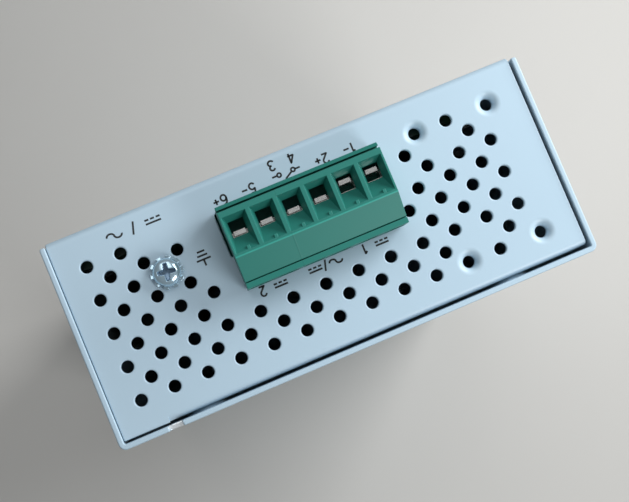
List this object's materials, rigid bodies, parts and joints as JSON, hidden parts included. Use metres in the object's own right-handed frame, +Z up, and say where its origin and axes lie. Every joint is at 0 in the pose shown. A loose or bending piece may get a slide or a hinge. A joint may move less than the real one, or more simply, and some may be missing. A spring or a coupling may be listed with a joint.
{
  "type": "ethernet switch",
  "caption": "Narrow folded steel network switch with a vented top, a green pluggable screw terminal block, an earth screw, front sockets and a rear rail bracket.",
  "frame": {"origin": "centre of the case's bottom face, without the rail bracket", "axes": "+Z up towards the vented top and the terminal block, -Y towards the front with the sockets, +X towards the cover's side wall"},
  "size_m": [0.039, 0.0979, 0.149],
  "materials": {
    "case_paint": "satin pale grey paint",
    "plug_plastic": "moulded, satin green",
    "zinc_steel": "bright zinc plate",
    "clamp_metal": "nickel plate",
    "tinned_brass": "tin plate",
    "gold_contact": "gold plate",
    "board_laminate": "green solder mask",
    "black_plastic": "moulded, satin black",
    "shield_steel": "tin plate",
    "light_lens": "clear tinted",
    "sink_aluminium": "plain extruded",
    "relay_plastic": "moulded, dark grey",
    "capacitor_sleeve": "shrink sleeve",
    "bracket_steel": "zinc plate",
    "spring_steel": "bright drawn wire"
  },
  "bodies": {
    "root": {"chassis_tray": "case_paint", "cover": "case_paint", "terminal_plug": "plug_plastic", "terminal_header": "plug_plastic", "cover_screws": "zinc_steel", "cover_nuts": "zinc_steel", "earth_screw": "zinc_steel", "earth_washer": "zinc_steel", "earth_nut": "zinc_steel", "board_screws": "zinc_steel", "board_standoffs": "zinc_steel", "bracket_screws": "zinc_steel", "bracket_nuts": "zinc_steel", "header_pins": "tinned_brass", "plug_contacts": "tinned_brass", "jack_contacts": "gold_contact", "main_board": "board_laminate", "rj45_jack_1": "black_plastic", "rj45_jack_2": "black_plastic", "rj45_jack_3": "black_plastic", "rj45_jack_4": "black_plastic", "rj45_jack_5": "black_plastic", "led_holder": "black_plastic", "switch_chip": "black_plastic", "line_transformers": "black_plastic", "bridge_rectifiers": "black_plastic", "power_inductor": "black_plastic", "jack_shields": "shield_steel", "crystal": "shield_steel", "status_leds": "light_lens", "heat_sink": "sink_aluminium", "alarm_relay": "relay_plastic", "filter_capacitors": "capacitor_sleeve", "rail_bracket": "bracket_steel", "rail_spring": "spring_steel"},
    "terminal_screw_1": {"terminal_screw_1": "zinc_steel"},
    "clamp_cage_1": {"clamp_cage_1": "clamp_metal"},
    "terminal_screw_2": {"terminal_screw_2": "zinc_steel"},
    "clamp_cage_2": {"clamp_cage_2": "clamp_metal"},
    "terminal_screw_3": {"terminal_screw_3": "zinc_steel"},
    "clamp_cage_3": {"clamp_cage_3": "clamp_metal"},
    "terminal_screw_4": {"terminal_screw_4": "zinc_steel"},
    "clamp_cage_4": {"clamp_cage_4": "clamp_metal"},
    "terminal_screw_5": {"terminal_screw_5": "zinc_steel"},
    "clamp_cage_5": {"clamp_cage_5": "clamp_metal"},
    "terminal_screw_6": {"terminal_screw_6": "zinc_steel"},
    "clamp_cage_6": {"clamp_cage_6": "clamp_metal"}
  },
  "joints": [
    {"name": "screw_1_turn", "type": "hinge", "parent": "root", "child": "terminal_screw_1", "pos_m": [-0.00145, -0.01285, 0.1437], "axis": [-1, 0, 0], "range_deg": [-1440, 0]},
    {"name": "cage_1_slide", "type": "slide", "parent": "root", "child": "clamp_cage_1", "axis": [1, 0, 0], "range_m": [-0.002, 0]},
    {"name": "screw_2_turn", "type": "hinge", "parent": "root", "child": "terminal_screw_2", "pos_m": [-0.00145, -0.00777, 0.1437], "axis": [-1, 0, 0], "range_deg": [-1440, 0]},
    {"name": "cage_2_slide", "type": "slide", "parent": "root", "child": "clamp_cage_2", "axis": [1, 0, 0], "range_m": [-0.002, 0]},
    {"name": "screw_3_turn", "type": "hinge", "parent": "root", "child": "terminal_screw_3", "pos_m": [-0.00145, -0.00269, 0.1437], "axis": [-1, 0, 0], "range_deg": [-1440, 0]},
    {"name": "cage_3_slide", "type": "slide", "parent": "root", "child": "clamp_cage_3", "axis": [1, 0, 0], "range_m": [-0.002, 0]},
    {"name": "screw_4_turn", "type": "hinge", "parent": "root", "child": "terminal_screw_4", "pos_m": [-0.00145, 0.00239, 0.1437], "axis": [-1, 0, 0], "range_deg": [-1440, 0]},
    {"name": "cage_4_slide", "type": "slide", "parent": "root", "child": "clamp_cage_4", "axis": [1, 0, 0], "range_m": [-0.002, 0]},
    {"name": "screw_5_turn", "type": "hinge", "parent": "root", "child": "terminal_screw_5", "pos_m": [-0.00145, 0.00747, 0.1437], "axis": [-1, 0, 0], "range_deg": [-540, 900]},
    {"name": "cage_5_slide", "type": "slide", "parent": "root", "child": "clamp_cage_5", "axis": [1, 0, 0], "range_m": [-0.00075, 0.00125]},
    {"name": "screw_6_turn", "type": "hinge", "parent": "root", "child": "terminal_screw_6", "pos_m": [-0.00145, 0.01255, 0.1437], "axis": [-1, 0, 0], "range_deg": [-540, 900]},
    {"name": "cage_6_slide", "type": "slide", "parent": "root", "child": "clamp_cage_6", "axis": [1, 0, 0], "range_m": [-0.00075, 0.00125]}
  ],
  "couplings": [
    {"joint": "screw_1_turn", "follows": "cage_1_slide", "rad_per_m": 12566},
    {"joint": "screw_2_turn", "follows": "cage_2_slide", "rad_per_m": 12566},
    {"joint": "screw_3_turn", "follows": "cage_3_slide", "rad_per_m": 12566},
    {"joint": "screw_4_turn", "follows": "cage_4_slide", "rad_per_m": 12566},
    {"joint": "screw_5_turn", "follows": "cage_5_slide", "rad_per_m": 12566},
    {"joint": "screw_6_turn", "follows": "cage_6_slide", "rad_per_m": 12566}
  ]
}
